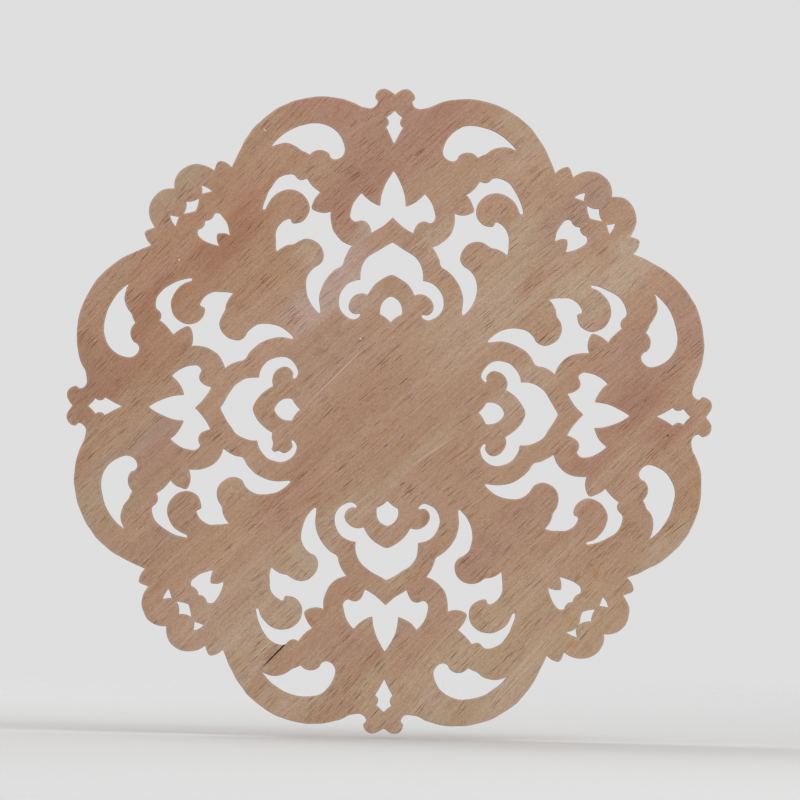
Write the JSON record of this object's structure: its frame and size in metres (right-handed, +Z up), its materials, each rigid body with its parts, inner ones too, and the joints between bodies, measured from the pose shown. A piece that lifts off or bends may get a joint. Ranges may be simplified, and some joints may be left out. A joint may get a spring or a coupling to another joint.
{
  "type": "pierced wooden rosette",
  "caption": "Flat round wooden rosette, fret-cut with leaf scrolls, lilies and onion domes in a lobed outline, to be fixed flat on furniture, a door or a ceiling.",
  "frame": {"origin": "centre of the flat back face", "axes": "+Y out of the back, +Z up, so that the face looks along -Y"},
  "size_m": [0.3, 0.008, 0.3],
  "materials": {
    "bare_wood": "bare sanded hardwood, matt, straight diagonal grain with fine dark pores"
  },
  "bodies": {
    "root": {"rosette_board": "bare_wood"}
  },
  "joints": []
}
